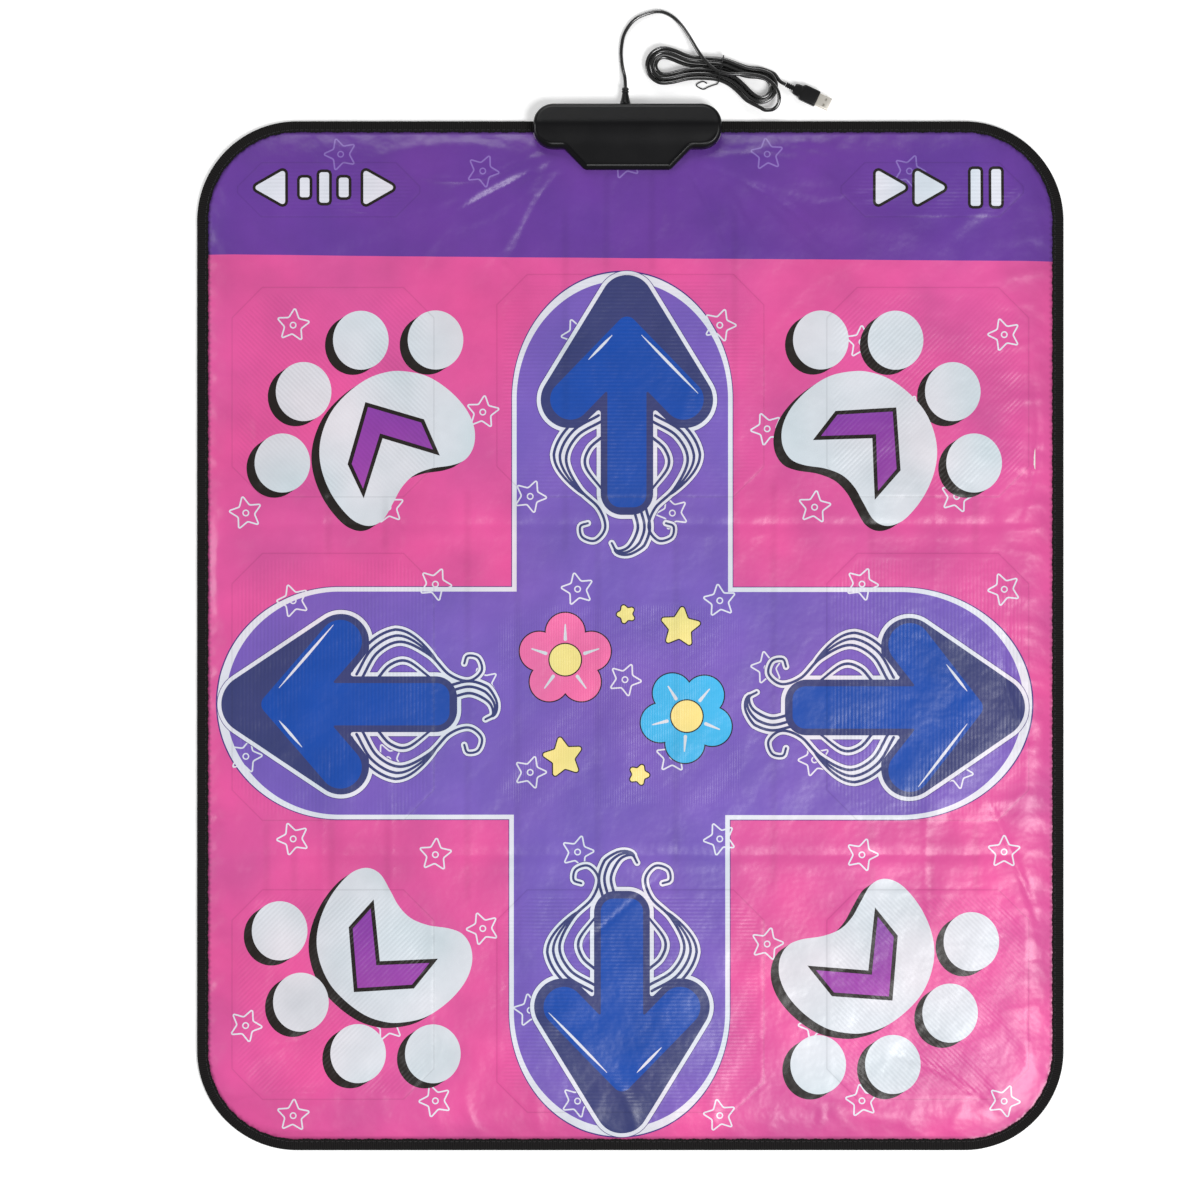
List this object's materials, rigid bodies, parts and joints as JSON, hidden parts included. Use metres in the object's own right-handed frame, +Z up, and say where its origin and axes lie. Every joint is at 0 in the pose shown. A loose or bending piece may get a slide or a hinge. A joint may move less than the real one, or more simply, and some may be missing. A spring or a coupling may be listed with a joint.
{
  "type": "dance mat controller",
  "caption": "Fold-up floor mat controller with step zones pressed by the feet, a small control housing on its edge and a thin lead wound in a hank that ends in a USB plug.",
  "frame": {"origin": "middle of the mat's outline, on its underside", "axes": "+Y from the middle of the mat towards the control housing, +Z up out of the printed side, +X to the right of someone who faces the housing"},
  "size_m": [0.8, 1.0532, 0.0198],
  "materials": {
    "printed_cover": "printed, satin, slightly wrinkled",
    "foam": "closed-cell foam sheet",
    "electrode_film": "film with a printed carbon and silver circuit",
    "non_slip_cloth": "black cloth with small non-slip dots",
    "woven_binding": "black woven tape, sewn",
    "housing_plastic": "charcoal, satin moulded",
    "circuit_board": "green solder mask",
    "chip_epoxy": "black epoxy blob",
    "capacitor_sleeve": "dark sleeve",
    "plated_steel": "nickel plated, lightly brushed",
    "cord_jacket": "soft black jacket"
  },
  "bodies": {
    "mat_top": {"cover_top": "printed_cover", "cushion_foam_top": "foam", "electrode_film_top": "electrode_film", "spacer_foam_top": "foam", "base_top": "non_slip_cloth", "binding_top_left": "woven_binding", "binding_top_right": "woven_binding", "housing_shell": "housing_plastic", "housing_base": "housing_plastic", "housing_screw_1": "plated_steel", "housing_screw_2": "plated_steel", "housing_screw_3": "plated_steel", "housing_screw_4": "plated_steel", "circuit_board": "circuit_board", "film_clamp": "housing_plastic", "epoxy_chip": "chip_epoxy", "capacitor": "capacitor_sleeve", "cable_gland": "housing_plastic", "lead": "cord_jacket", "lead_hank": "cord_jacket", "wire_tie": "cord_jacket", "plug_body": "cord_jacket", "plug_shell": "plated_steel", "plug_tongue": "circuit_board"},
    "mat_middle": {"cover_middle": "printed_cover", "cushion_foam_middle": "foam", "electrode_film_middle": "electrode_film", "spacer_foam_middle": "foam", "base_middle": "non_slip_cloth", "binding_middle_left": "woven_binding", "binding_middle_right": "woven_binding"},
    "mat_bottom": {"cover_bottom": "printed_cover", "cushion_foam_bottom": "foam", "electrode_film_bottom": "electrode_film", "spacer_foam_bottom": "foam", "base_bottom": "non_slip_cloth", "binding_bottom": "woven_binding"},
    "up_step": {"up_zone": "printed_cover", "up_contact_film": "electrode_film"},
    "upper_left_step": {"upper_left_zone": "printed_cover", "upper_left_contact_film": "electrode_film"},
    "upper_right_step": {"upper_right_zone": "printed_cover", "upper_right_contact_film": "electrode_film"},
    "select_step": {"select_zone": "printed_cover", "select_contact_film": "electrode_film"},
    "start_step": {"start_zone": "printed_cover", "start_contact_film": "electrode_film"},
    "left_step": {"left_zone": "printed_cover", "left_contact_film": "electrode_film"},
    "right_step": {"right_zone": "printed_cover", "right_contact_film": "electrode_film"},
    "down_step": {"down_zone": "printed_cover", "down_contact_film": "electrode_film"},
    "lower_left_step": {"lower_left_zone": "printed_cover", "lower_left_contact_film": "electrode_film"},
    "lower_right_step": {"lower_right_zone": "printed_cover", "lower_right_contact_film": "electrode_film"}
  },
  "joints": [
    {"name": "upper_fold", "type": "hinge", "parent": "mat_top", "child": "mat_middle", "pos_m": [0, 0.102, 0.01635], "axis": [-1, 0, 0], "range_deg": [0, 180]},
    {"name": "lower_fold", "type": "hinge", "parent": "mat_middle", "child": "mat_bottom", "pos_m": [0, -0.202, 0.0109], "axis": [-1, 0, 0], "range_deg": [0, 180]},
    {"name": "up_press", "type": "slide", "parent": "mat_top", "child": "up_step", "axis": [0, 0, -1], "range_m": [0, 0.0019], "stiffness_N_per_m": 4000},
    {"name": "upper_left_press", "type": "slide", "parent": "mat_top", "child": "upper_left_step", "axis": [0, 0, -1], "range_m": [0, 0.0019], "stiffness_N_per_m": 4000},
    {"name": "upper_right_press", "type": "slide", "parent": "mat_top", "child": "upper_right_step", "axis": [0, 0, -1], "range_m": [0, 0.0019], "stiffness_N_per_m": 4000},
    {"name": "select_press", "type": "slide", "parent": "mat_top", "child": "select_step", "axis": [0, 0, -1], "range_m": [0, 0.0019], "stiffness_N_per_m": 4000},
    {"name": "start_press", "type": "slide", "parent": "mat_top", "child": "start_step", "axis": [0, 0, -1], "range_m": [0, 0.0019], "stiffness_N_per_m": 4000},
    {"name": "left_press", "type": "slide", "parent": "mat_middle", "child": "left_step", "axis": [0, 0, -1], "range_m": [0, 0.0019], "stiffness_N_per_m": 4000},
    {"name": "right_press", "type": "slide", "parent": "mat_middle", "child": "right_step", "axis": [0, 0, -1], "range_m": [0, 0.0019], "stiffness_N_per_m": 4000},
    {"name": "down_press", "type": "slide", "parent": "mat_bottom", "child": "down_step", "axis": [0, 0, -1], "range_m": [0, 0.0019], "stiffness_N_per_m": 4000},
    {"name": "lower_left_press", "type": "slide", "parent": "mat_bottom", "child": "lower_left_step", "axis": [0, 0, -1], "range_m": [0, 0.0019], "stiffness_N_per_m": 4000},
    {"name": "lower_right_press", "type": "slide", "parent": "mat_bottom", "child": "lower_right_step", "axis": [0, 0, -1], "range_m": [0, 0.0019], "stiffness_N_per_m": 4000}
  ]
}
